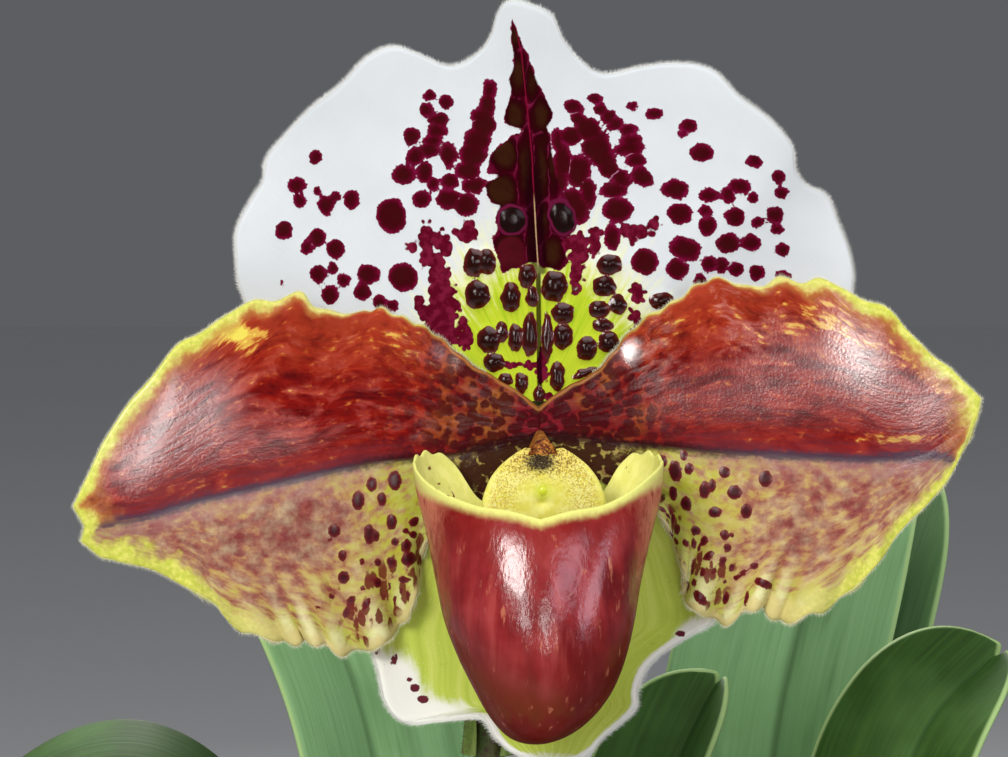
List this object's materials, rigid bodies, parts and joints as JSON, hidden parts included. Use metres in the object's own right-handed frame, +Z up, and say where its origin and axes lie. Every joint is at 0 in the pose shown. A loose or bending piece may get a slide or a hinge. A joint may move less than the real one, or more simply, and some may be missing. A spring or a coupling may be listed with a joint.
{
  "type": "potted paphiopedilum orchid in flower",
  "caption": "Slipper orchid in a plain clay pot: arching strap leaves, an upright hairy stem and a wide flower with a spotted white upper sepal, red petals and a glossy pouch.",
  "frame": {"origin": "middle of the pot's flat base, which rests on the surface", "axes": "+Z up along the pot's axis; the flower faces -Y, towards the viewer, and +X is the viewer's right"},
  "size_m": [0.2119, 0.1944, 0.3559],
  "materials": {
    "clay": "matte fired clay with a light bloom",
    "bark": "rough flaky conifer bark chips",
    "rhizome": "dull fibrous skin",
    "leaf": "satin leathery leaf with fine lengthwise veins",
    "stem": "green stem with short dark hairs",
    "bract": "thin green sheath",
    "dorsal_sepal": "soft satin white with maroon spots, glossy dark warts and a yellow-green foot",
    "synsepal": "soft satin lime green with a white hairy margin",
    "petal": "waxy gloss, mahogany red over yellow with a yellow-green margin",
    "pouch": "high waxy gloss crimson with a yellow-green brim",
    "column": "fine granular pale yellow"
  },
  "bodies": {
    "root": {"pot": "clay", "potting_bark": "bark", "rhizome": "rhizome", "leaf_left_tall": "leaf", "leaf_left_arching": "leaf", "leaf_left_low": "leaf", "leaf_right_young": "leaf", "leaf_front_low": "leaf", "leaf_right_tall": "leaf", "leaf_right_upright": "leaf", "leaf_back": "leaf", "leaf_right_spreading": "leaf", "leaf_right_arching": "leaf", "leaf_right_low": "leaf", "flower_stem": "stem", "bract": "bract", "ovary": "stem", "dorsal_sepal": "dorsal_sepal", "synsepal": "synsepal", "petal_left": "petal", "petal_right": "petal", "labellum": "pouch", "column": "column"}
  },
  "joints": []
}
